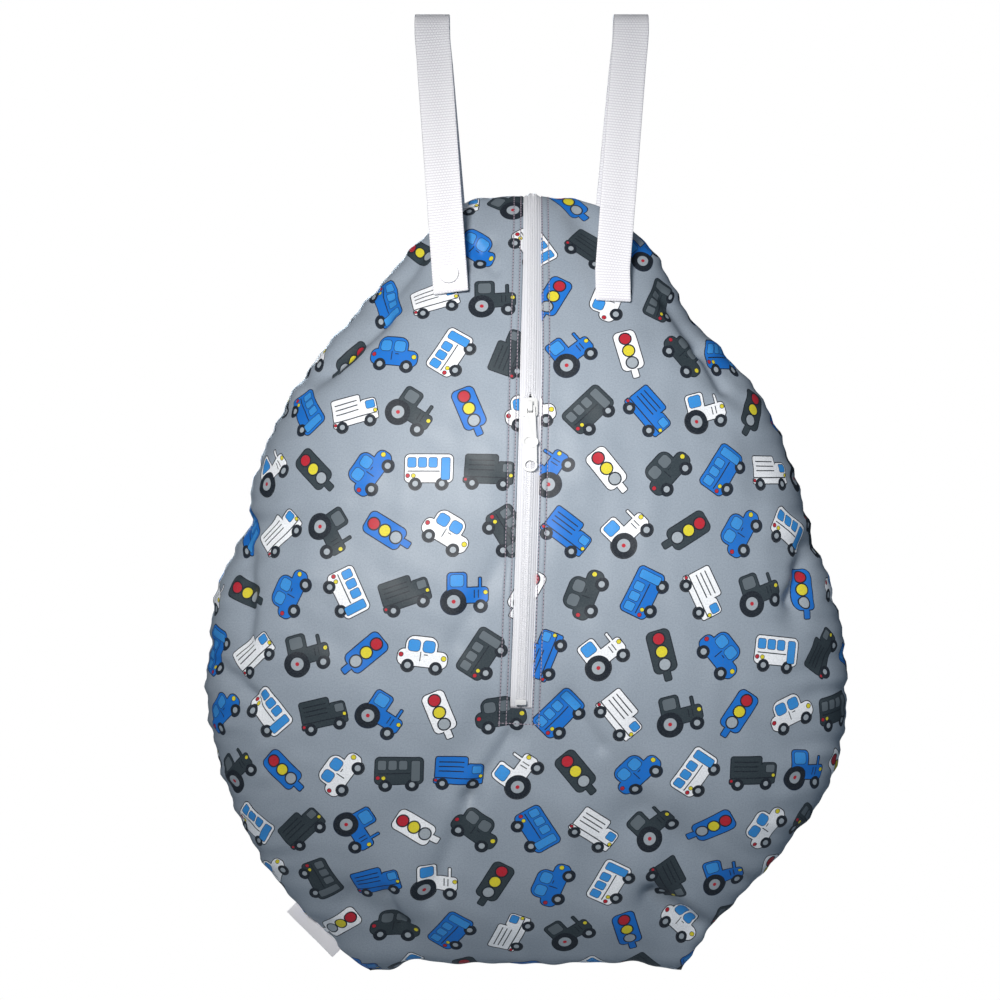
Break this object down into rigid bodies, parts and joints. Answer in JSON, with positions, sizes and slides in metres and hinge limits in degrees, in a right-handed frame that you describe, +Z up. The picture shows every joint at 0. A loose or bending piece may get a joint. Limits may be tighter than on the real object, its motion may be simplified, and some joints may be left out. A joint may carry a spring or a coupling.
{
  "type": "hanging wet bag",
  "caption": "Plump drop-shaped zipped cloth wet bag with two webbing hanging straps, one closed by a snap, and a hinged zip pull.",
  "frame": {"origin": "the hanging line: the inner top of both strap loops, midway above the bag's middle", "axes": "+Z up, the bag hanging below; the zip faces -Y; +X to the viewer's right seen from the front"},
  "size_m": [0.4633, 0.1731, 0.6951],
  "materials": {
    "bag_cloth": "smooth printed waterproof knit, slate grey with small motifs",
    "zip_tape": "fine white polyester tape with nylon coil",
    "zip_enamel": "glossy white enamel",
    "webbing": "ribbed white polypropylene webbing",
    "snap_plastic": "glossy white plastic",
    "label_satin": "plain white satin ribbon"
  },
  "bodies": {
    "bag": {"front_panel": "bag_cloth", "back_panel": "bag_cloth", "zip_tape_left": "zip_tape", "zip_tape_right": "zip_tape", "zip_stop": "zip_enamel", "zip_slider": "zip_enamel", "strap_left": "webbing", "strap_right": "webbing", "snap_cap": "snap_plastic", "snap_socket": "snap_plastic", "side_label": "label_satin"},
    "pull": {"zip_pull": "zip_enamel"}
  },
  "joints": [
    {"name": "pull_swing", "type": "hinge", "parent": "bag", "child": "pull", "pos_m": [0.00224, -0.08751, -0.28553], "axis": [-1, 0, 0], "range_deg": [0, 150]}
  ]
}
